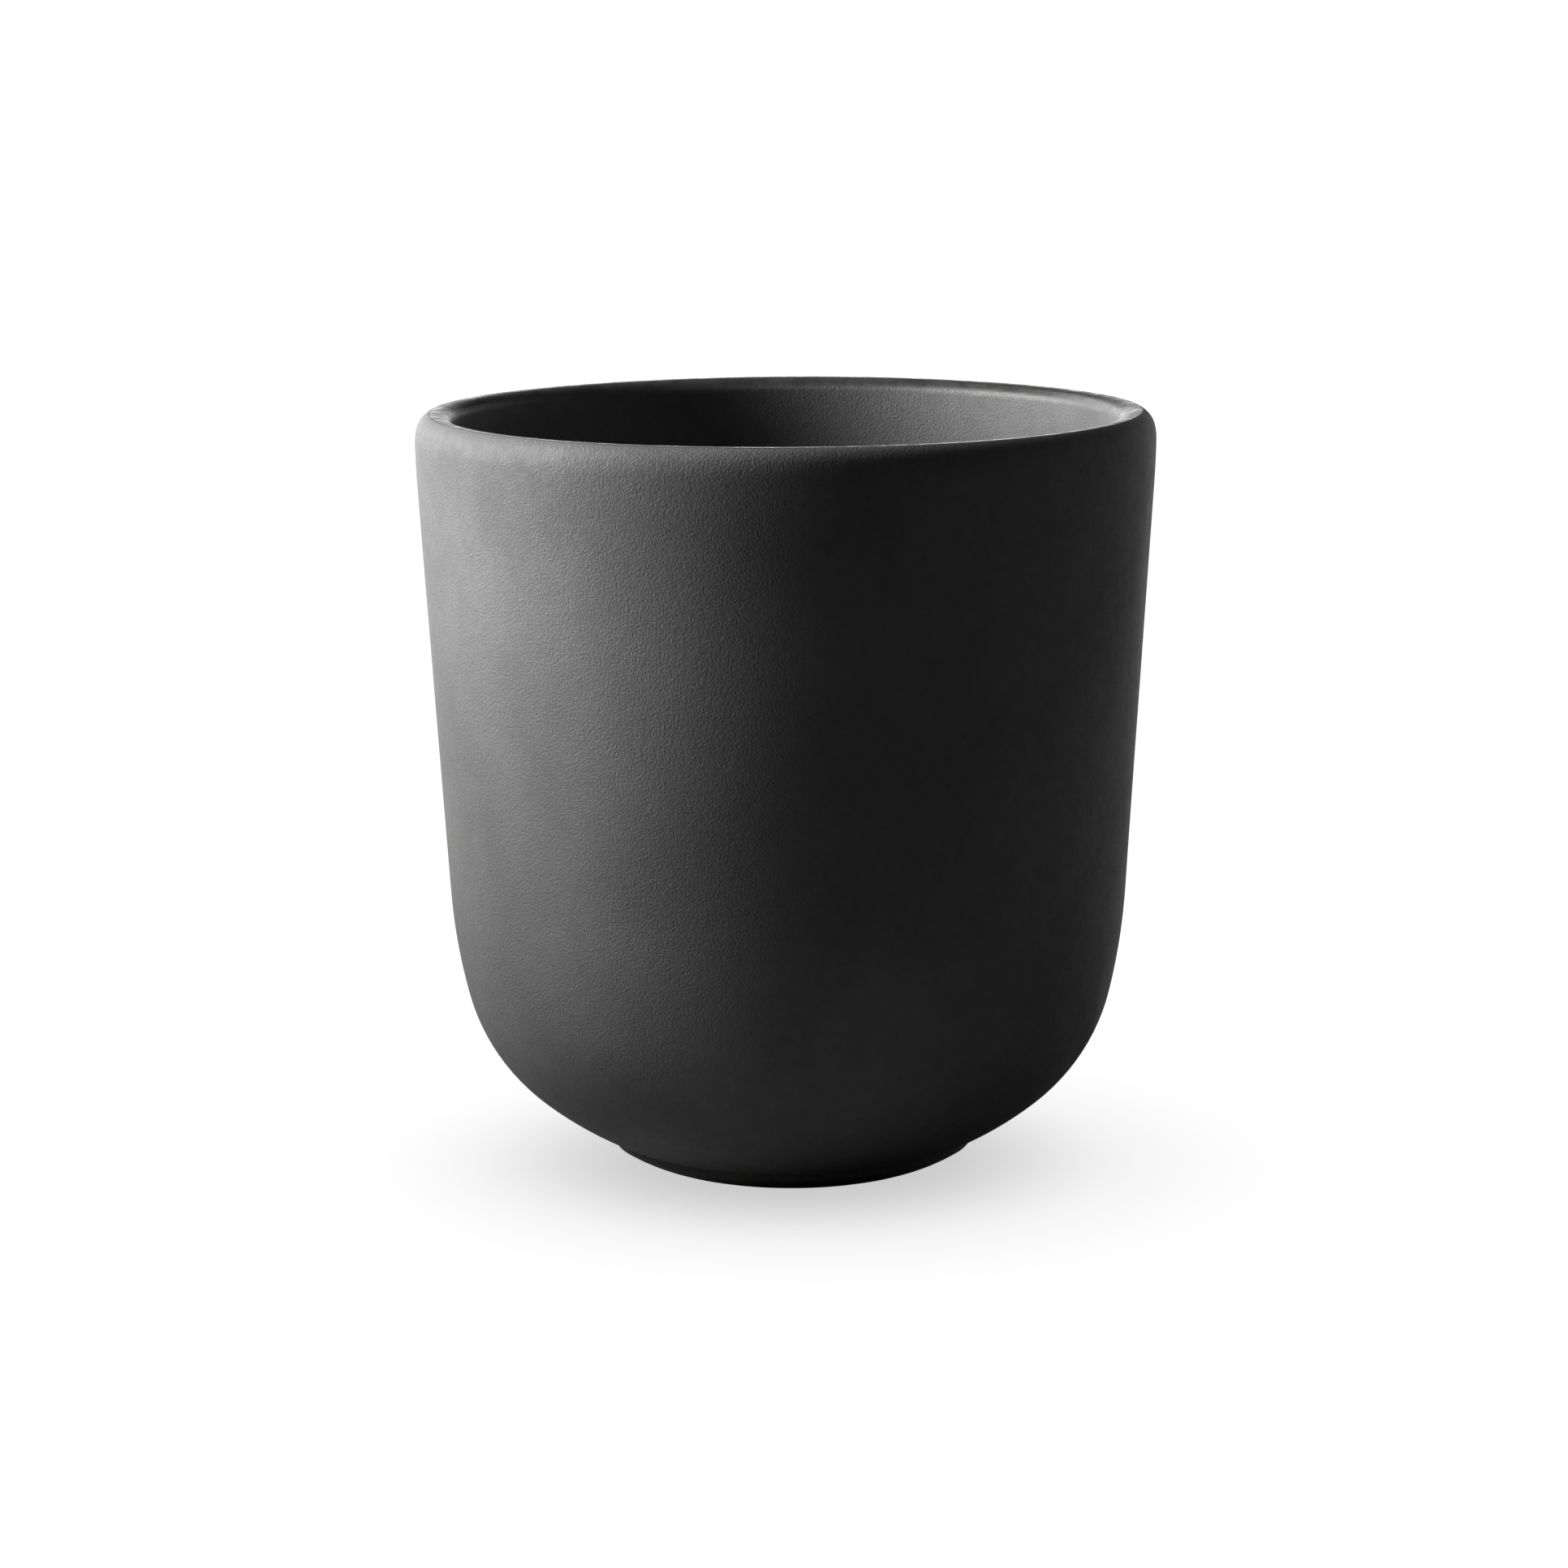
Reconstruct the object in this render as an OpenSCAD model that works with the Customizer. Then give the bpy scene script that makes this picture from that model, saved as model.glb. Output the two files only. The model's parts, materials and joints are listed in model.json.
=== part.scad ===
// Empty candle jar: a wheel-turned stoneware tumbler on a small luted foot ring,
// with a matt black coat outside and over the lip, a liner coat inside, and a
// glazed recess underneath. Every piece is a body of revolution about +Z.
// Origin: on the axis, on the plane that the foot stands on. Units: millimetres.
//
// The wall section is a chain of tangent arcs and straight runs. Each face of the
// clay and each face of the glaze uses the same arc centres, so a coat is an exact
// parallel skin of the wall under it.

/* [Overall size] */
// Diameter at the widest point, just under the lip
jar_d = 90; // [84:1:100]
// Height from the table to the crest of the lip
jar_h = 93.5; // [86:0.5:110]

/* [Lip and mouth] */
// Thickness of the lip across the mouth
lip_t = 4.6; // [4:0.1:5.4]
// Rounding of the lip's outer edge
lip_out_r = 2.8; // [2:0.1:3]
// Depth below the crest at which the straight lid seat ends
seat_depth = 8; // [5:0.5:12]

/* [Wall] */
// Lean of the straight wall from the vertical, in degrees
lean = 3.64; // [2:0.02:4.5]
// Radius of the soft bend that brings the outside upright under the lip
shoulder_r = 95.7; // [60:0.1:140]
// Radius of the matching bend below the lid seat
seat_bend_r = 30; // [15:1:60]
// Height at which the straight wall ends and the belly begins
belly_h = 34.4; // [30:0.2:38]
// Radius of the slow bend at the bottom of the wall
belly_r = 71.1; // [60:0.1:80]
// Angle that the slow bend turns through
belly_turn = 10.3; // [8:0.1:12]

/* [Lower corner and floor] */
// Radius of the rounded lower corner
corner_r = 23.8; // [22:0.1:26]
// Angle that the lower corner turns through
corner_turn = 36.8; // [34:0.1:39]
// Radius of the dished underside, down to the foot
under_r = 43; // [40:0.1:46]
// Height of the inside floor above the table
floor_h = 6.7; // [6:0.1:9]

/* [Foot] */
// Outer radius of the foot ring at the crease
foot_r = 22.1; // [20:0.1:24]
// Height of the foot ring's short upright side above the table
foot_side_h = 2.47; // [2:0.01:2.8]
// Radius of the foot ring's curved lower edge
foot_edge_r = 19; // [16:0.5:24]
// Angle of that edge from the horizontal where it leaves the upright side
foot_edge_slope = 33; // [28:0.5:40]
// Inner radius of the foot ring
foot_bore_r = 12.8; // [11:0.1:14]
// Rounding of the foot ring's inner edge where it stands on the table
foot_ease_r = 0.6; // [0.3:0.1:0.8]
// Depth of the glazed recess under the floor
recess_h = 1.5; // [1.2:0.1:2]

/* [Glaze] */
// Thickness of every coat of glaze
glaze_t = 0.3; // [0.2:0.05:0.5]

/* [Hidden] */
$fn = 128;

// Widest angle between neighbouring points of an arc, in degrees
arc_step = 3;

jar_r = jar_d / 2;
mouth_r = jar_r - lip_t;
lip_in_r = lip_t - lip_out_r;

// Unit vector at an angle from the radial direction, in the (radius, height) plane
function dir(a) = [cos(a), sin(a)];

// Outside of the wall: each arc starts where the one above it ends
belly_angle = lean + belly_turn;
corner_angle = belly_angle + corner_turn;
lip_c = [jar_r - lip_out_r, jar_h - lip_out_r];
shoulder_c = [jar_r - shoulder_r, lip_c.y];
shoulder_end = shoulder_c + shoulder_r * dir(-lean);
belly_start = [shoulder_end.x - (shoulder_end.y - belly_h) * tan(lean), belly_h];
belly_c = belly_start - belly_r * dir(-lean);
corner_c = belly_c + (belly_r - corner_r) * dir(-belly_angle);
under_c = corner_c + (corner_r - under_r) * dir(-corner_angle);

// Inside of the wall, parallel to the outside as far as the end of the belly
seat_bend_c = [mouth_r - seat_bend_r, jar_h - seat_depth];
seat_bend_end = seat_bend_c + seat_bend_r * dir(-lean);
wall_t = (shoulder_end - seat_bend_end) * dir(-lean);
bowl_start = belly_c + (belly_r - wall_t) * dir(-belly_angle);
bowl_r = (bowl_start.y - floor_h) / (1 - sin(belly_angle));
bowl_c = bowl_start - bowl_r * dir(-belly_angle);

// Foot ring
foot_edge_angle = foot_edge_slope - 90;
foot_edge_c = [foot_r, foot_side_h] - foot_edge_r * dir(foot_edge_angle);
foot_contact_angle = -asin(foot_edge_c.y / foot_edge_r);
foot_seat_h = recess_h + glaze_t;

// Points along an arc from angle a0 to a1, both ends included
function arc(c, r, a0, a1) =
    let (n = max(1, ceil(abs(a1 - a0) / arc_step)))
    [for (i = [0:n]) c + r * dir(a0 + (a1 - a0) * i / n)];

// The same arc without its first point, to follow on from another arc's end
function arc_on(c, r, a0, a1) =
    let (p = arc(c, r, a0, a1))
    [for (i = [1:len(p) - 1]) p[i]];

function reversed(p) = [for (i = [len(p) - 1:-1:0]) p[i]];

// Angle at which the underside, t below the glazed surface, reaches radius r
function under_angle_at_r(r, t) = -acos((r - under_c.x) / (under_r - t));

// Angle at which it reaches height z
function under_angle_at_z(z, t) = -asin((under_c.y - z) / (under_r - t));

// Outside of the jar, t below the glazed surface, from the lip's crest to end_angle
function outside(t, end_angle) = concat(
    arc(lip_c, lip_out_r - t, 90, 0),
    arc_on(shoulder_c, shoulder_r - t, 0, -lean),
    arc(belly_c, belly_r - t, -lean, -belly_angle),
    arc_on(corner_c, corner_r - t, -belly_angle, -corner_angle),
    arc_on(under_c, under_r - t, -corner_angle, end_angle)
);

// Rounded inner edge of the lip, from the top of the lid seat almost to the crest
function lip_inside(t) = arc([lip_c.x, jar_h - lip_in_r], lip_in_r - t, 180, 90 + arc_step);

// Inside of the jar, t below the glazed surface, from the foot of the lid seat to the axis
function inside(t) = concat(
    arc(seat_bend_c, seat_bend_r + t, 0, -lean),
    arc(belly_c, belly_r - wall_t + t, -lean, -belly_angle),
    arc_on(bowl_c, bowl_r + t, -belly_angle, -90),
    [[0, floor_h - t]]
);

module turned(points) {
    rotate_extrude() polygon(points);
}

// Fired clay: wall, lip and floor, with a flat seat underneath for the foot ring
module stoneware_body() {
    color([0.20, 0.19, 0.18])
        turned(concat(
            outside(glaze_t, under_angle_at_z(foot_seat_h, glaze_t)),
            [[0, foot_seat_h]],
            reversed(inside(glaze_t)),
            lip_inside(glaze_t)
        ));
}

// Bare clay ring, luted to the underside, that the jar stands on
module foot_ring() {
    color([0.13, 0.125, 0.12])
        turned(concat(
            arc(under_c, under_r - glaze_t,
                under_angle_at_z(foot_seat_h, glaze_t), under_angle_at_r(foot_r, glaze_t)),
            arc(foot_edge_c, foot_edge_r, foot_edge_angle, foot_contact_angle),
            arc([foot_bore_r + foot_ease_r, foot_ease_r], foot_ease_r, -90, -180),
            [[foot_bore_r, foot_seat_h]]
        ));
}

// Matt black coat: from the lid seat over the lip and down to the foot's crease
module outer_glaze() {
    color([0.05, 0.05, 0.052])
        turned(concat(
            lip_inside(0),
            outside(0, under_angle_at_r(foot_r, 0)),
            reversed(outside(glaze_t, under_angle_at_r(foot_r, glaze_t))),
            reversed(lip_inside(glaze_t))
        ));
}

// Liner coat: the lid seat, the inside wall and the floor
module inner_glaze() {
    color([0.06, 0.06, 0.062])
        turned(concat(
            [lip_inside(0)[0]],
            inside(0),
            reversed(inside(glaze_t)),
            [lip_inside(glaze_t)[0]]
        ));
}

// Coat on the recess inside the foot ring, with a fillet up the ring's bore
module underside_glaze() {
    color([0.05, 0.05, 0.052])
        turned(concat(
            [[0, foot_seat_h], [foot_bore_r, foot_seat_h]],
            arc([foot_bore_r - foot_ease_r, recess_h - foot_ease_r], foot_ease_r, 0, 90),
            [[0, recess_h]]
        ));
}

stoneware_body();
foot_ring();
outer_glaze();
inner_glaze();
underside_glaze();
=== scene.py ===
import itertools
import json
import math

import bmesh
import bpy
from mathutils import Matrix, Vector, noise


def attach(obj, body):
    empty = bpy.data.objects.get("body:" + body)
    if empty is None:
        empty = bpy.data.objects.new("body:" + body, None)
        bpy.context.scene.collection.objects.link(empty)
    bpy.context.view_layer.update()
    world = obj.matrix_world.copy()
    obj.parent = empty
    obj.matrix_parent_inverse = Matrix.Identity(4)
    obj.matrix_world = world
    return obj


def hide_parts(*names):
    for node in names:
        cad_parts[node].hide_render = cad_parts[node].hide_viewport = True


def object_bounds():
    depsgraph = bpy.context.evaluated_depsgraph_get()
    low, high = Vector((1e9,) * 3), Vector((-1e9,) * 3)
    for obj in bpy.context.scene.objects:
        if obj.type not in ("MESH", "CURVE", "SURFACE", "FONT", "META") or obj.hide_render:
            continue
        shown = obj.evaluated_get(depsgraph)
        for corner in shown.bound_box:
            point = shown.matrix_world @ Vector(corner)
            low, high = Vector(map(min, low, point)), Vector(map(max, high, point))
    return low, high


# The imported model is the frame: everything is in metres, +Z up, with the origin on the
# jar's axis at the table.
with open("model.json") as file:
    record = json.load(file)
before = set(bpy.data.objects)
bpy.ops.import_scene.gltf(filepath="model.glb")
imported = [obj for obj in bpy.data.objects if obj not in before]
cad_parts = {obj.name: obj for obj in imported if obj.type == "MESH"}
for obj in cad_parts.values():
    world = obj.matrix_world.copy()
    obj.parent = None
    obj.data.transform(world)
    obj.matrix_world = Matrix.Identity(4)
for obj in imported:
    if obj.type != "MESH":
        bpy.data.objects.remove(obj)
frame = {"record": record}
CAD_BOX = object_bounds()
MM = 0.001

# ---------------------------------------------------------------- section of the jar
# The wall is a chain of tangent arcs and straight runs in the (radius, height) plane, with the
# CAD's own dimensions. The angles are those of the surface's outward normal above the horizontal,
# in degrees.
JAR_R = (CAD_BOX[1][0] - CAD_BOX[0][0]) / 2
JAR_H = CAD_BOX[1][2]
MOUTH = next(m for m in frame["record"]["mounts"] if m["name"] == "mouth")
MOUTH_R = MOUTH["dims"]["r_mm"] * MM
LIP_OUT_R = 2.8 * MM
LIP_IN_R = JAR_R - MOUTH_R - LIP_OUT_R
SEAT_DEPTH = 8 * MM
LEAN = 3.64
SHOULDER_R = 95.7 * MM
SEAT_BEND_R = 30 * MM
BELLY_H = 34.4 * MM
BELLY_R = 71.1 * MM
BELLY_ANGLE = LEAN + 10.3
CORNER_R = 23.8 * MM
CORNER_ANGLE = BELLY_ANGLE + 36.8
UNDER_R = 43 * MM
FLOOR_H = 6.7 * MM
FOOT_R = 22.1 * MM
FOOT_SIDE_H = 2.47 * MM
FOOT_EDGE_R = 19 * MM
FOOT_EDGE_ANGLE = -57
FOOT_BORE_R = 12.8 * MM
FOOT_EASE_R = 0.6 * MM
RECESS_H = 1.5 * MM
GLAZE_T = 0.3 * MM
SEAT_H = RECESS_H + GLAZE_T


def direction(angle):
    return Vector((math.cos(math.radians(angle)), math.sin(math.radians(angle))))


SHOULDER_C = Vector((JAR_R - SHOULDER_R, JAR_H - LIP_OUT_R))
SHOULDER_END = SHOULDER_C + SHOULDER_R * direction(-LEAN)
BELLY_DROP = SHOULDER_END.y - BELLY_H
BELLY_START = Vector((SHOULDER_END.x - BELLY_DROP * math.tan(math.radians(LEAN)), BELLY_H))
BELLY_C = BELLY_START - BELLY_R * direction(-LEAN)
CORNER_C = BELLY_C + (BELLY_R - CORNER_R) * direction(-BELLY_ANGLE)
UNDER_C = CORNER_C + (CORNER_R - UNDER_R) * direction(-CORNER_ANGLE)
SEAT_BEND_C = Vector((MOUTH_R - SEAT_BEND_R, JAR_H - SEAT_DEPTH))
SEAT_BEND_END = SEAT_BEND_C + SEAT_BEND_R * direction(-LEAN)
WALL_T = (SHOULDER_END - SEAT_BEND_END).dot(direction(-LEAN))
BOWL_START = BELLY_C + (BELLY_R - WALL_T) * direction(-BELLY_ANGLE)
BOWL_R = (BOWL_START.y - FLOOR_H) / (1 - math.sin(math.radians(BELLY_ANGLE)))
BOWL_C = BOWL_START - BOWL_R * direction(-BELLY_ANGLE)
FOOT_EDGE_C = Vector((FOOT_R, FOOT_SIDE_H)) - FOOT_EDGE_R * direction(FOOT_EDGE_ANGLE)
SEAT_ANGLE = -math.degrees(math.asin((UNDER_C.y - SEAT_H) / (UNDER_R - GLAZE_T)))

# Lip as it looks: the wall eases into the outer rounding, which stops at a crisp ridge round a
# narrow flat land, a little below the model's crest. The inner rounding starts at the land.
EASE_ANGLE = -0.45
EASE_R = 6 * MM
TURN_ANGLE = 15
TURN_R = 2.7 * MM
RIDGE_ANGLE = 65
RIDGE_R = 0.2 * MM
LAND_DROP = 0.2 * MM
EASE_C = SHOULDER_C + (SHOULDER_R - EASE_R) * direction(EASE_ANGLE)
TURN_C = EASE_C + (EASE_R - TURN_R) * direction(TURN_ANGLE)
RIDGE_C = TURN_C + (TURN_R - RIDGE_R) * direction(RIDGE_ANGLE)
ROUNDING_H = LIP_IN_R - LAND_DROP
ROUNDING_W = 2.3 * MM
ROUNDING_C = Vector((MOUTH_R + ROUNDING_W, JAR_H - LIP_IN_R))
RIM_H = JAR_H - LAND_DROP

# Spacing of the lathe's rings along the outline, and how far an arc may turn between two
RING_GAP = 1.3 * MM
ARC_STEP = 5


def arc(centre, radius, start, end):
    """Points along an arc between two normal angles, both ends included."""
    turn = abs(end - start)
    length = math.radians(turn) * radius
    count = max(1, math.ceil(turn / ARC_STEP), math.ceil(length / RING_GAP))
    angles = [start + (end - start) * i / count for i in range(count + 1)]
    return [centre + radius * direction(angle) for angle in angles]


def run(start, end):
    """Points strictly between two ends of a straight stretch."""
    count = max(1, math.ceil((end - start).length / RING_GAP))
    return [start.lerp(end, i / count) for i in range(1, count)]


def under_angle(radius, depth):
    """Normal angle at which the underside, depth below the glaze's surface, is at a radius."""
    return -math.degrees(math.acos((radius - UNDER_C.x) / (UNDER_R - depth)))


def ridge(depth):
    """Outer edge of the land: a tight arc in the glaze, a plain corner in the clay under it."""
    if depth < RIDGE_R:
        return arc(RIDGE_C, RIDGE_R - depth, 90, RIDGE_ANGLE)
    return [TURN_C + (TURN_R - depth) * direction(RIDGE_ANGLE)]


def outside(depth):
    """Outside of the jar from the lip's ridge to the foot's crease, depth below the glaze."""
    shoulder = arc(SHOULDER_C, SHOULDER_R - depth, EASE_ANGLE, -LEAN)
    belly = arc(BELLY_C, BELLY_R - depth, -LEAN, -BELLY_ANGLE)
    return (
        ridge(depth)
        + arc(TURN_C, TURN_R - depth, RIDGE_ANGLE, TURN_ANGLE)[1:]
        + arc(EASE_C, EASE_R - depth, TURN_ANGLE, EASE_ANGLE)[1:]
        + shoulder[1:]
        + run(shoulder[-1], belly[0])
        + belly
        + arc(CORNER_C, CORNER_R - depth, -BELLY_ANGLE, -CORNER_ANGLE)[1:]
        + arc(UNDER_C, UNDER_R - depth, -CORNER_ANGLE, under_angle(FOOT_R, depth))[1:]
    )


def lip_inside(depth):
    """Rounded inner edge of the lip and its land, from the top of the lid seat to the ridge."""
    squash = Matrix.Diagonal((1, (ROUNDING_H - depth) / (ROUNDING_W - depth)))
    quarter = arc(Vector((0, 0)), ROUNDING_W - depth, 180, 90)
    rounding = [ROUNDING_C + squash @ point for point in quarter]
    return rounding + run(rounding[-1], ridge(depth)[0])


def inside(depth):
    """Inside of the jar from the top of the lid seat to the axis."""
    top = Vector((MOUTH_R + depth, JAR_H - LIP_IN_R))
    bend = arc(SEAT_BEND_C, SEAT_BEND_R + depth, 0, -LEAN)
    belly = arc(BELLY_C, BELLY_R - WALL_T + depth, -LEAN, -BELLY_ANGLE)
    bowl = arc(BOWL_C, BOWL_R + depth, -BELLY_ANGLE, -90)
    centre = Vector((0, FLOOR_H - depth))
    return (
        [top]
        + run(top, bend[0])
        + bend
        + run(bend[-1], belly[0])
        + belly
        + bowl[1:]
        + run(bowl[-1], centre)
        + [centre]
    )


# ---------------------------------------------------------------- lathe
SIDES = 320
ON_AXIS = 1e-6
SHARP_ANGLE = 35

# Unevenness of a fired pot. A ripple is its size, its waves round the jar and its phase, and a
# wave is its size and the frequency of its noise, per metre.
OVAL = (0.07 * MM, 2, 0.6)
THREE_SIDED = (0.025 * MM, 3, 2.1)
LIP_TILT = (0.05 * MM, 1, -0.9)
LIP_RIPPLE = (0.03 * MM, 4, 0.4)
BROAD_WAVE = (0.02 * MM, 90)
FINE_WAVE = (0.006 * MM, 420)
FOOT_ASIDE = 0.55 * MM


def ripple(kind, angle):
    size, waves, phase = kind
    return size * math.cos(waves * angle + phase)


def wave(kind, place):
    size, frequency = kind
    return size * noise.noise(place * frequency)


def hand_made(point, angle):
    """Where a point of the outline lies, turned to an angle, on a pot that is a little out of
    round, with a lip that isn't quite level, soft waves, and a foot aside of the axis."""
    height = point.y / JAR_H
    span = point.x / JAR_R
    oval = height * span * (ripple(OVAL, angle) + ripple(THREE_SIDED, angle))
    level = height**4 * ripple(LIP_TILT, angle) + height**6 * ripple(LIP_RIPPLE, angle)
    place = Vector((point.x * math.cos(angle), point.x * math.sin(angle), point.y))
    waves = wave(BROAD_WAVE, place) + wave(FINE_WAVE, place)
    radius = point.x + (oval + waves) * span
    aside = FOOT_ASIDE * (1 - height) ** 6
    return Vector((radius * math.cos(angle) + aside, radius * math.sin(angle), point.y + level))


def lathe(name, outline):
    """A body of revolution from a closed outline; points on the axis become a single vertex."""
    mesh = bmesh.new()
    rings = []
    for point in outline:
        sides = 1 if point.x < ON_AXIS else SIDES
        angles = [2 * math.pi * i / sides for i in range(sides)]
        rings.append([mesh.verts.new(hand_made(point, angle)) for angle in angles])
    for a, b in zip(rings, rings[1:] + rings[:1]):
        if len(a) == 1 and len(b) == 1:
            continue
        for i in range(SIDES):
            j = (i + 1) % SIDES
            corners = [a[i % len(a)], a[j % len(a)], b[j % len(b)], b[i % len(b)]]
            mesh.faces.new(list(dict.fromkeys(corners)))
    bmesh.ops.recalc_face_normals(mesh, faces=mesh.faces)
    data = bpy.data.meshes.new(name)
    mesh.to_mesh(data)
    mesh.free()
    data.shade_smooth()
    data.set_sharp_from_angle(angle=math.radians(SHARP_ANGLE))
    piece = bpy.data.objects.new(name, data)
    bpy.context.scene.collection.objects.link(piece)
    return piece


# ---------------------------------------------------------------- materials
GLASS_IOR = 1.5
GLAZE_TONE = 0.09
GLAZE_ROUGH = 0.7
BODY_TONE = 0.035
BODY_ROUGH = 0.75
FOOT_TONE = 0.06
FOOT_ROUGH = 0.8

# Features of the glaze and of the clay, and how deep their relief is. Dots have a gap from one
# cell to the next, a radius, and the share of the cells that hold one.
DRIFT = 18 * MM
DRIFT_DEPTH = 0.05 * MM
MOTTLE = 1.4 * MM
MOTTLE_DEPTH = 0.03 * MM
GRAIN = 0.27 * MM
GRAIN_DEPTH = 0.1 * MM
PITS = {"gap": 1.9 * MM, "radius": 0.13 * MM, "share": 0.4}
PIT_DEPTH = 0.05 * MM
SPECKS = {"gap": 1.3 * MM, "radius": 0.11 * MM, "share": 0.22}
POLISH_AND_SHADE_PATCH = 2.2 * MM
CLAY_DRIFT = 9 * MM
SAND = 0.42 * MM
SAND_DEPTH = 0.03 * MM
GROG = {"gap": 0.9 * MM, "radius": 0.16 * MM, "share": 0.3}
PORES = {"gap": 0.8 * MM, "radius": 0.1 * MM, "share": 0.35}
PORE_DEPTH = 0.06 * MM
WEAR_PATCH = 1.2 * MM
DOT_CORE = 0.45

# Spans of a noise's values: nearly all of them, and those in its brighter half
MOST = (0.3, 0.7)
BRIGHT = (0.5, 0.75)


class Finish:
    """Builds one procedural material from small parts that share the object's own coordinates."""

    def __init__(self, name, seed):
        self.material = bpy.data.materials.new(name)
        self.material.use_nodes = True
        self.tree = self.material.node_tree
        self.shader = self.tree.nodes["Principled BSDF"]
        self.shader.inputs["IOR"].default_value = GLASS_IOR
        place = self.tree.nodes.new("ShaderNodeTexCoord")
        spot = (seed, seed * 0.7, seed * 1.3)
        shift = self.add("ShaderNodeMapping", Vector=place.outputs["Object"], Location=spot)
        self.where = shift.outputs["Vector"]
        axes = self.add("ShaderNodeSeparateXYZ", Vector=place.outputs["Object"])
        self.height = axes.outputs["Z"]
        across, away = self.square(axes.outputs["X"]), self.square(axes.outputs["Y"])
        self.radius = self.math("SQRT", self.math("ADD", across, away), 0)
        self.normal = None

    def add(self, kind, **inputs):
        """A node with its inputs set. _ and a number is an input by its place. A socket is linked,
        anything else is a value."""
        node = self.tree.nodes.new(kind)
        for key, value in inputs.items():
            name = int(key[1:]) if key[0] == "_" else key.replace("_", " ")
            self.set(node.inputs[name], value)
        return node

    def set(self, socket, value):
        if isinstance(value, bpy.types.NodeSocket):
            self.tree.links.new(value, socket)
        else:
            socket.default_value = value

    def clouds(self, size, detail, rough):
        """Noise, 0 to 1, whose features are about size across."""
        scale = 1 / size
        node = self.add(
            "ShaderNodeTexNoise", Vector=self.where, Scale=scale, Detail=detail, Roughness=rough
        )
        return node.outputs["Fac"]

    def dots(self, gap, radius, share):
        """Scattered dots: 1 inside, 0 outside, soft at the edge."""
        cell = self.add("ShaderNodeTexVoronoi", Vector=self.where, Scale=1 / gap)
        rim = (radius / gap, DOT_CORE * radius / gap)
        inside = self.remap(cell.outputs["Distance"], rim, (0, 1))
        pick = self.add("ShaderNodeSeparateColor", Color=cell.outputs["Color"])
        chosen = self.math("LESS_THAN", pick.outputs["Red"], share)
        return self.math("MULTIPLY", inside, chosen)

    def remap(self, value, source, target):
        """The value carried smoothly from one range to another, and held at its ends."""
        node = self.add("ShaderNodeMapRange", Value=value, From_Min=source[0], From_Max=source[1])
        node.inputs["To Min"].default_value = target[0]
        node.inputs["To Max"].default_value = target[1]
        node.interpolation_type = "SMOOTHSTEP"
        return node.outputs["Result"]

    def math(self, operation, a, b):
        node = self.add("ShaderNodeMath", _0=a, _1=b)
        node.operation = operation
        return node.outputs["Value"]

    def square(self, value):
        return self.math("MULTIPLY", value, value)

    def tint(self, colour, factor, other):
        """The colour turned towards another where the factor is 1."""
        node = self.add("ShaderNodeMix")
        node.data_type = "RGBA"
        self.set(node.inputs["Factor"], factor)
        self.set(node.inputs[6], colour)
        self.set(node.inputs[7], other)
        return node.outputs[2]

    def bump(self, height, distance):
        """Adds a relief on top of those already there."""
        node = self.add("ShaderNodeBump", Height=height, Strength=1.0, Distance=distance)
        if self.normal:
            self.tree.links.new(self.normal, node.inputs["Normal"])
        self.normal = node.outputs["Normal"]

    def finish(self, colour, rough):
        self.tree.links.new(colour, self.shader.inputs["Base Color"])
        self.tree.links.new(rough, self.shader.inputs["Roughness"])
        self.tree.links.new(self.normal, self.shader.inputs["Normal"])
        return self.material


def grey(value, warmth=0.0):
    return (value * (1 + warmth), value, value * (1 - warmth), 1)


def glaze(name, tone, rough, seed, rub=None):
    """Matt black glaze: a very fine pebbled grain, soft mottling, pinholes and a few pale specks.
    rub is a span of heights and a span of radii: where both are past their second value, handling
    has polished the glaze smoother, in patches. The same patches are also painted darker as
    painted shade, standing in for the dim light that the lip's upward-facing rounding and land get
    from above."""
    f = Finish(name, seed)
    mottle = f.clouds(MOTTLE, 3, 0.6)
    drift = f.clouds(DRIFT, 3, 0.55)
    grain = f.clouds(GRAIN, 2, 0.6)
    pits = f.dots(**PITS)
    specks = f.dots(**SPECKS)

    shade = f.tint(grey(tone * 0.86), f.remap(drift, MOST, (0, 1)), grey(tone * 1.12, 0.01))
    shade = f.tint(shade, f.remap(mottle, (0.62, 0.36), (0, 0.08)), grey(tone * 0.55))
    shade = f.tint(shade, f.remap(grain, BRIGHT, (0, 0.06)), grey(tone * 1.9, 0.02))
    shade = f.tint(shade, f.math("MULTIPLY", specks, 0.3), grey(tone * 2.6, 0.04))
    shade = f.tint(shade, f.math("MULTIPLY", pits, 0.8), grey(tone * 0.25))

    broad = f.remap(drift, MOST, (rough + 0.03, rough - 0.03))
    gloss = f.math("ADD", broad, f.remap(mottle, (0.35, 0.65), (0.03, -0.03)))
    if rub:
        high, inward = f.remap(f.height, rub[0], (0, 1)), f.remap(f.radius, rub[1], (0, 1))
        edge = f.math("MULTIPLY", high, inward)
        patches = f.remap(f.clouds(POLISH_AND_SHADE_PATCH, 3, 0.6), (0.42, 0.62), (0.8, 1))
        polish_and_painted_shade = f.math("MULTIPLY", edge, patches)
        # painted shade: the polished patches on the lip's rounding and land are darkened in colour
        # to stand in for the little light they get from above, while their lower roughness is real
        # polish
        shade = f.tint(shade, polish_and_painted_shade, grey(tone * 0.4, 0.02))
        gloss = f.math("SUBTRACT", gloss, f.math("MULTIPLY", polish_and_painted_shade, 0.42))
        grain = f.math("MULTIPLY", grain, f.remap(edge, (0, 1), (1, 0.12)))
        pits = f.math("MULTIPLY", pits, f.remap(edge, (0, 1), (1, 0)))

    f.bump(drift, DRIFT_DEPTH)
    f.bump(mottle, MOTTLE_DEPTH)
    f.bump(grain, GRAIN_DEPTH)
    f.bump(pits, -PIT_DEPTH)
    return f.finish(shade, gloss)


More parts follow.
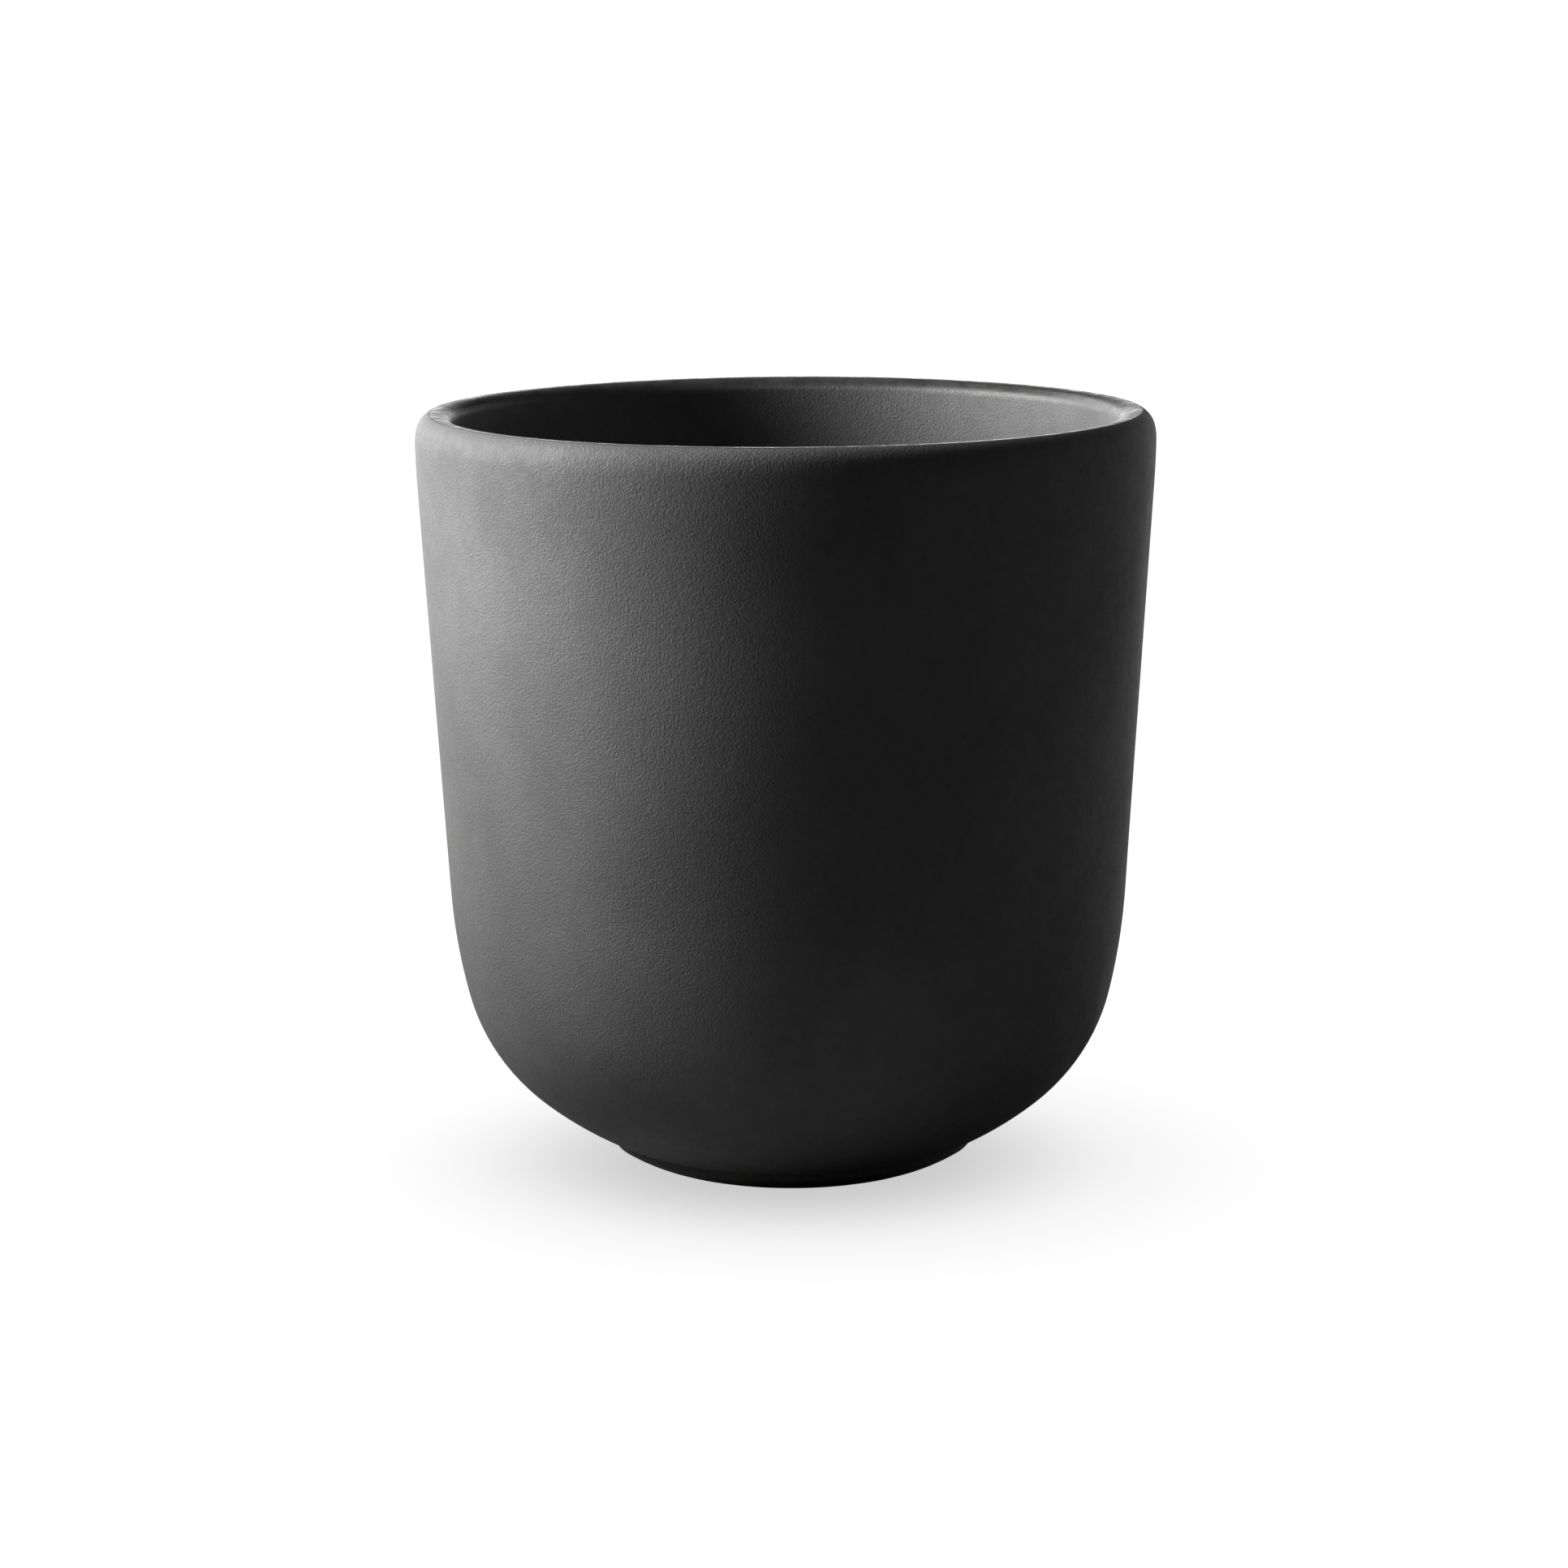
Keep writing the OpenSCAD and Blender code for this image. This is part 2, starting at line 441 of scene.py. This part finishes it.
def clay(name, tone, rough, seed, rub=None):
    """Bare black stoneware: sandy, with pale grog and dark pores. rub is a span of heights over
    which it gets worn paler and smoother, in patches."""
    f = Finish(name, seed)
    drift = f.clouds(CLAY_DRIFT, 3, 0.55)
    sand = f.clouds(SAND, 3, 0.65)
    grog = f.dots(**GROG)
    pores = f.dots(**PORES)

    shade = f.tint(grey(tone * 0.8, 0.03), f.remap(drift, MOST, (0, 1)), grey(tone * 1.15, 0.05))
    shade = f.tint(shade, f.remap(sand, BRIGHT, (0, 0.5)), grey(tone * 2.0, 0.06))
    shade = f.tint(shade, f.math("MULTIPLY", grog, 0.45), grey(tone * 3.0, 0.1))
    shade = f.tint(shade, f.math("MULTIPLY", pores, 0.8), grey(tone * 0.3))
    gloss = f.remap(sand, MOST, (rough + 0.06, rough - 0.06))
    if rub:
        low = f.remap(f.height, rub, (0, 1))
        patches = f.remap(f.clouds(WEAR_PATCH, 3, 0.6), (0.4, 0.6), (0.2, 1))
        worn = f.math("MULTIPLY", low, patches)
        shade = f.tint(shade, f.math("MULTIPLY", worn, 0.5), grey(tone * 2.2, 0.06))
        gloss = f.math("SUBTRACT", gloss, f.math("MULTIPLY", worn, 0.12))

    f.bump(drift, DRIFT_DEPTH)
    f.bump(sand, SAND_DEPTH)
    f.bump(pores, -PORE_DEPTH)
    return f.finish(shade, gloss)


def finish_piece(piece, node, material):
    """Dresses a piece and hands it to the frame in place of its CAD node."""
    piece.data.materials.append(material)
    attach(piece, "root")
    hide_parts(node)


# ---------------------------------------------------------------- pieces
# The lip is fully polished, and fully darkened as painted shade, from this far below its land, and
# the foot is worn below this height
POLISH_AND_SHADE_BELOW = 0.4 * MM
WEAR_H = 0.5 * MM


def back(points):
    return list(reversed(points))


def outer_coat():
    skin, clay_side = lip_inside(0) + outside(0), lip_inside(GLAZE_T) + outside(GLAZE_T)
    piece = lathe("outer_coat", skin + back(clay_side))
    heights = (JAR_H - LIP_IN_R, RIM_H - POLISH_AND_SHADE_BELOW)
    radii = (RIDGE_C.x + RIDGE_R, RIDGE_C.x)
    material = glaze("matt_black_glaze", GLAZE_TONE, GLAZE_ROUGH, 0.3, (heights, radii))
    finish_piece(piece, "outer_glaze", material)


def liner_coat():
    piece = lathe("liner_coat", inside(0) + back(inside(GLAZE_T)))
    material = glaze("liner_glaze", GLAZE_TONE, GLAZE_ROUGH, 1.7)
    finish_piece(piece, "inner_glaze", material)


def underside_coat():
    corner = Vector((FOOT_BORE_R - FOOT_EASE_R, RECESS_H - FOOT_EASE_R))
    top, edge = Vector((0, SEAT_H)), Vector((FOOT_BORE_R, SEAT_H))
    fillet = arc(corner, FOOT_EASE_R, 0, 90)
    centre = Vector((0, RECESS_H))
    outline = [top] + run(top, edge) + [edge] + fillet + run(fillet[-1], centre) + [centre]
    piece = lathe("underside_coat", outline)
    material = glaze("underside_glaze", GLAZE_TONE, GLAZE_ROUGH, 2.9)
    finish_piece(piece, "underside_glaze", material)


def clay_body():
    crease_angle = under_angle(FOOT_R, GLAZE_T)
    under = arc(UNDER_C, UNDER_R - GLAZE_T, crease_angle, SEAT_ANGLE)[1:]
    centre = Vector((0, SEAT_H))
    below = outside(GLAZE_T) + under + run(under[-1], centre) + [centre]
    piece = lathe("clay_body", below + back(inside(GLAZE_T)) + lip_inside(GLAZE_T)[1:])
    material = clay("body_clay", BODY_TONE, BODY_ROUGH, 5.3)
    finish_piece(piece, "stoneware_body", material)


def foot():
    contact_angle = -math.degrees(math.asin(FOOT_EDGE_C.y / FOOT_EDGE_R))
    top = arc(UNDER_C, UNDER_R - GLAZE_T, SEAT_ANGLE, under_angle(FOOT_R, GLAZE_T))
    edge = arc(FOOT_EDGE_C, FOOT_EDGE_R, FOOT_EDGE_ANGLE, contact_angle)
    ease = arc(Vector((FOOT_BORE_R + FOOT_EASE_R, FOOT_EASE_R)), FOOT_EASE_R, -90, -180)
    seat = Vector((FOOT_BORE_R, SEAT_H))
    ground = edge + run(edge[-1], ease[0]) + ease
    outline = top + run(top[-1], edge[0]) + ground + [seat] + run(seat, top[0])
    piece = lathe("foot", outline)
    material = clay("foot_clay", FOOT_TONE, FOOT_ROUGH, 4.1, (WEAR_H, 0))
    finish_piece(piece, "foot_ring", material)


outer_coat()
liner_coat()
underside_coat()
foot()
clay_body()

# ---------------------------------------------------------------- camera
# Picture's width and focal length in pixels, distance from the axis, height of the lens as an
# angle from the rim's middle, and the camera's own angles, in degrees
PICTURE = 1932
FOCAL_PX = 6087
CAMERA_BACK = 600 * MM
RIM_ELEVATION = 5.65
PITCH = 10.0
ROLL = -0.3
SIDESTEP = -0.42 * MM
SENSOR_MM = 36

lens = bpy.data.cameras.new("camera")
lens.sensor_width = SENSOR_MM
lens.lens = FOCAL_PX / PICTURE * lens.sensor_width
camera = bpy.data.objects.new("camera", lens)
camera_height = JAR_H + CAMERA_BACK * math.tan(math.radians(RIM_ELEVATION))
camera.matrix_world = (
    Matrix.Translation((SIDESTEP, -CAMERA_BACK, camera_height))
    @ Matrix.Rotation(math.radians(90 - PITCH), 4, "X")
    @ Matrix.Rotation(math.radians(ROLL), 4, "Z")
)
bpy.context.scene.collection.objects.link(camera)
bpy.context.scene.camera = camera

# ---------------------------------------------------------------- studio
AIM = Vector((0, 0, JAR_H / 2))
LIGHT_BACK = 0.7

# Radiances in units of the picture's white, angles in degrees
KEY_GLOW = 36
KEY_AZIMUTH = 90
KEY_FADE_FORWARD = 11
KEY_FADE_BACK = 22
KEY_ELEVATION = 17
KEY_FADE_DOWN = 17
KEY_FADE_UP = 29
BACK_GLOW = 2.8
RIGHT_BACK_GLOW = 0.85
FILL_GLOW = 0.34
WORLD_GLOW = 0.01
SKY_WIDTH = 120
SKY_ON_FLOOR = 0.5
FLOOR_GLOW = 0.6

# Papers and cards: how pale they are and how far they reach
FLOOR_TONE = 0.8
FLOOR_R = 6
CARD_TONE = 0.22
CARD_R = 0.25
CARD_H = -0.2 * MM
FLAG_TONE = 0.01
FLAG_AWAY = 165 * MM
FLAG_LOW = 1 * MM
FLAG_HIGH = 76 * MM
FLAG_HALF_WIDTH = 300 * MM
FLOOR_SIDES = 128


def collection(name, members):
    group = bpy.data.collections.new(name)
    for member in members:
        group.objects.link(member)
    return group


def soft_wall(name, turn, rise, glow, steps):
    """A curved diffuser of flat area lights that face the jar. turn and rise are its edges as the
    jar sees them, in degrees; azimuth 0 is the camera's side and 90 the picture's left. steps are
    its panels across and up. glow gives a panel's radiance, in units of the picture's white, from
    its azimuth and elevation."""
    width, height = (turn[1] - turn[0]) / steps[0], (rise[1] - rise[0]) / steps[1]
    for i, j in itertools.product(range(steps[0]), range(steps[1])):
        azimuth, elevation = turn[0] + (i + 0.5) * width, rise[0] + (j + 0.5) * height
        az, el = math.radians(azimuth), math.radians(elevation)
        light = bpy.data.lights.new(f"{name}_{i}_{j}", "AREA")
        light.shape = "RECTANGLE"
        light.size = 2 * LIGHT_BACK * math.cos(el) * math.tan(math.radians(width / 2))
        light.size_y = 2 * LIGHT_BACK * math.tan(math.radians(height / 2))
        light.energy = glow(azimuth, elevation) * light.size * light.size_y * math.pi
        lamp = bpy.data.objects.new(light.name, light)
        level = math.cos(el)
        towards = Vector((-math.sin(az) * level, -math.cos(az) * level, math.sin(el)))
        facing = (-towards).to_track_quat("-Z", "Y").to_matrix().to_4x4()
        lamp.matrix_world = Matrix.Translation(AIM + towards * LIGHT_BACK) @ facing
        lamp.visible_camera = False
        lamp.light_linking.receiver_collection = LIT_BY_WALLS
        bpy.context.scene.collection.objects.link(lamp)


def even(radiance):
    return lambda azimuth, elevation: radiance


def key_glow(azimuth, elevation):
    """The key is a tall diffuser, hottest level with the jar's side: it fades quickly towards the
    camera and slowly towards the back, and hardly at all up and down until near its edges."""
    across, up = azimuth - KEY_AZIMUTH, elevation - KEY_ELEVATION
    across /= KEY_FADE_FORWARD if across < 0 else KEY_FADE_BACK
    up /= KEY_FADE_DOWN if up < 0 else KEY_FADE_UP
    return KEY_GLOW * math.exp(-across * across - up**4)


def floor(name, height, radius, tone, glow):
    """A round sheet of paper under the jar."""
    mesh = bmesh.new()
    bmesh.ops.create_circle(mesh, cap_ends=True, segments=FLOOR_SIDES, radius=radius)
    bmesh.ops.translate(mesh, verts=mesh.verts, vec=(0, 0, height))
    return paper(name, mesh, tone, glow)


def flag(name):
    """A black card that stands on the picture's left and shades the lower part of the jar."""
    mesh = bmesh.new()
    near, far = -FLAG_HALF_WIDTH, FLAG_HALF_WIDTH
    corners = [(near, FLAG_LOW), (far, FLAG_LOW), (far, FLAG_HIGH), (near, FLAG_HIGH)]
    mesh.faces.new([mesh.verts.new((-FLAG_AWAY, y, z)) for y, z in corners])
    return paper(name, mesh, FLAG_TONE, 0)


def paper(name, mesh, tone, glow):
    """Turns a mesh into a matt sheet that belongs to the studio."""
    data = bpy.data.meshes.new(name)
    mesh.to_mesh(data)
    mesh.free()
    piece = bpy.data.objects.new(name, data)
    bpy.context.scene.collection.objects.link(piece)
    material = bpy.data.materials.new(name)
    material.use_nodes = True
    shader = material.node_tree.nodes["Principled BSDF"]
    shader.inputs["Base Color"].default_value = grey(tone)
    shader.inputs["Roughness"].default_value = 1.0
    shader.inputs["Specular IOR Level"].default_value = 0.0
    shader.inputs["Emission Color"].default_value = grey(1)
    shader.inputs["Emission Strength"].default_value = glow
    data.materials.append(material)
    return piece


# The camera sees a white floor that glows a little, so that the jar's shade on it stays faint.
# The jar sees a small grey card just under it, so that its underside isn't washed out.
white_floor = floor("floor", 0, FLOOR_R, FLOOR_TONE, FLOOR_GLOW)
white_floor.visible_glossy = False
white_floor.visible_diffuse = False
white_floor.visible_shadow = False
card = floor("bounce_card", CARD_H, CARD_R, CARD_TONE, 0)
card.visible_camera = False
card.visible_shadow = False

PAPERS = (white_floor, card)
jar_meshes = [o for o in bpy.context.scene.objects if o.type == "MESH" and o not in PAPERS]
side_flag = flag("side_flag")
side_flag.visible_camera = False
JAR = collection("jar", jar_meshes)
LIT_BY_WALLS = collection("lit_by_walls", jar_meshes + [card, side_flag])
LIT_BY_SKY = collection("lit_by_sky", [white_floor])

soft_wall("key", (68, 140), (-10, 53), key_glow, (9, 5))
soft_wall("left_back", (140, 170), (-15, 35), even(BACK_GLOW), (2, 2))
soft_wall("backdrop", (170, 204), (-23, 12.5), even(BACK_GLOW), (1, 1))
soft_wall("right_back", (204, 232), (-23, 15), even(RIGHT_BACK_GLOW), (1, 1))
soft_wall("right_fill", (-158, -72), (-2, 34), even(FILL_GLOW), (3, 1))

# A wide, even sky for the floor alone: it reaches every part of the floor alike.
sun = bpy.data.lights.new("sky", "SUN")
sun.angle = math.radians(SKY_WIDTH)
sun.energy = SKY_ON_FLOOR * math.pi / FLOOR_TONE
sky = bpy.data.objects.new("sky", sun)
sky.light_linking.receiver_collection = LIT_BY_SKY
sky.light_linking.blocker_collection = JAR
bpy.context.scene.collection.objects.link(sky)

# The camera sees white behind the jar, and nothing else gets more than a little light from there.
world = bpy.data.worlds.new("studio")
world.use_nodes = True
bpy.context.scene.world = world
nodes, links = world.node_tree.nodes, world.node_tree.links
white = nodes["Background"]
white.inputs["Color"].default_value = grey(1)
dark = nodes.new("ShaderNodeBackground")
dark.inputs["Color"].default_value = grey(WORLD_GLOW)
seen = nodes.new("ShaderNodeLightPath")
mix = nodes.new("ShaderNodeMixShader")
links.new(seen.outputs["Is Camera Ray"], mix.inputs["Fac"])
links.new(dark.outputs["Background"], mix.inputs[1])
links.new(white.outputs["Background"], mix.inputs[2])
links.new(mix.outputs["Shader"], nodes["World Output"].inputs["Surface"])
bpy.context.scene.view_settings.view_transform = "Standard"
